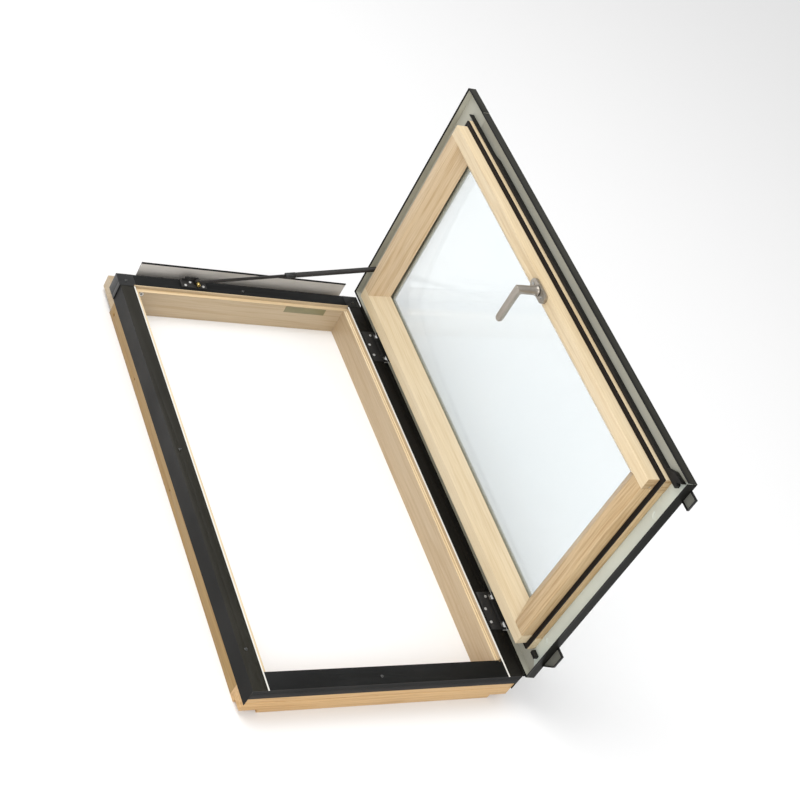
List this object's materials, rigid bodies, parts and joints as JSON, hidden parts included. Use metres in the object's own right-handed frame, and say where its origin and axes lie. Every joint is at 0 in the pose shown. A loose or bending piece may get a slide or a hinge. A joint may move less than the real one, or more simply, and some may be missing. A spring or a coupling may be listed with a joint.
{
  "type": "roof window",
  "caption": "Side-hung roof window for daylight and roof access: pine frame with dark metal covers and a double-glazed sash on hinges, held open by a telescopic stay.",
  "frame": {"origin": "centre of the frame's underside, midway between its stiles and rails", "axes": "+Z out of the roof towards the weather side, +Y up the roof slope, +X towards the hinge side"},
  "size_m": [0.6925, 1.213, 0.7574],
  "materials": {
    "pine": "clear matt varnish",
    "dark_cover": "satin baked coating",
    "grey_sheet": "matt back coating",
    "black_plastic": "moulded",
    "pale_strip": "smooth",
    "zinc_screw": "zinc plated",
    "label": "blank printed film",
    "black_steel": "black coating",
    "brass": "turned",
    "rubber": "extruded",
    "glass": "clear",
    "spacer": "mill",
    "satin_nickel": "satin nickel plate",
    "black_sleeve": "moulded"
  },
  "bodies": {
    "frame": {"frame_bottom_rail": "pine", "frame_top_rail": "pine", "frame_left_stile": "pine", "frame_right_stile": "pine", "frame_left_cover": "dark_cover", "frame_right_cover": "dark_cover", "frame_bottom_cover": "dark_cover", "frame_top_cover": "dark_cover", "top_hood": "grey_sheet", "corner_cap_left": "black_plastic", "corner_cap_right": "black_plastic", "left_weather_strip": "pale_strip", "right_weather_strip": "pale_strip", "cover_screws": "zinc_screw", "label_plate": "label", "lower_hinge_frame_leaf": "black_steel", "upper_hinge_frame_leaf": "black_steel", "lower_hinge_pin": "zinc_screw", "upper_hinge_pin": "zinc_screw", "frame_leaf_screws": "zinc_screw", "stay_bracket": "black_steel", "stay_pivot_pin": "zinc_screw", "stay_bracket_screws": "zinc_screw", "bottom_keep": "zinc_screw", "top_keep": "zinc_screw"},
    "sash": {"sash_bottom_rail": "pine", "sash_top_rail": "pine", "sash_free_stile": "pine", "sash_hinge_stile": "pine", "mortice_plug": "pine", "sash_gasket": "rubber", "glazing_seal": "rubber", "inner_pane": "glass", "outer_pane": "glass", "spacer_bar": "spacer", "glazing_tape": "rubber", "sash_free_cover": "dark_cover", "sash_hinge_cover": "dark_cover", "sash_bottom_cover": "dark_cover", "sash_top_cover": "dark_cover", "free_drip_tab": "dark_cover", "hinge_drip_tab": "dark_cover", "side_seal": "rubber", "corner_pad": "rubber", "lower_hinge_sash_leaf": "black_steel", "upper_hinge_sash_leaf": "black_steel", "sash_leaf_screws": "zinc_screw", "lock_case": "zinc_screw", "handle_rosette": "satin_nickel", "rosette_screws": "zinc_screw", "stay_sash_bracket": "black_steel", "stay_sash_screws": "zinc_screw"},
    "handle": {"handle_lever": "satin_nickel", "drive_disc": "zinc_screw"},
    "upper_bolt": {"upper_bolt_rod": "zinc_screw"},
    "lower_bolt": {"lower_bolt_rod": "zinc_screw"},
    "stay_rod": {"stay_rod": "black_steel", "stay_bush": "brass"},
    "stay_tube": {"stay_tube": "black_steel", "stay_sleeve": "black_sleeve"}
  },
  "joints": [
    {"name": "sash_hinge", "type": "hinge", "parent": "frame", "child": "sash", "pos_m": [0.338, 0, 0.082], "axis": [0, 1, 0], "range_deg": [-88, 0]},
    {"name": "handle_turn", "type": "hinge", "parent": "sash", "child": "handle", "pos_m": [0.28398, -0.013, 0.68348], "axis": [-0.9994, 0, -0.0349], "range_deg": [0, 90]},
    {"name": "upper_bolt_slide", "type": "slide", "parent": "sash", "child": "upper_bolt", "axis": [0, 1, 0], "range_m": [0, 0.01415]},
    {"name": "lower_bolt_slide", "type": "slide", "parent": "sash", "child": "lower_bolt", "axis": [0, -1, 0], "range_m": [0, 0.01415]},
    {"name": "stay_arm_hinge", "type": "hinge", "parent": "sash", "child": "stay_tube", "pos_m": [0.34574, 0.545, 0.20414], "axis": [0, 1, 0], "range_deg": [0, 101.22]},
    {"name": "stay_slide", "type": "slide", "parent": "stay_tube", "child": "stay_rod", "axis": [0.9739, 0, 0.2269], "range_m": [0, 0.1423]}
  ],
  "couplings": [
    {"joint": "upper_bolt_slide", "follows": "handle_turn", "m_per_rad": 0.0090032},
    {"joint": "lower_bolt_slide", "follows": "handle_turn", "m_per_rad": 0.0090032},
    {"joint": "stay_arm_hinge", "follows": "sash_hinge", "ratio": -1.149},
    {"joint": "stay_slide", "follows": "sash_hinge", "m_per_rad": -0.092587}
  ]
}
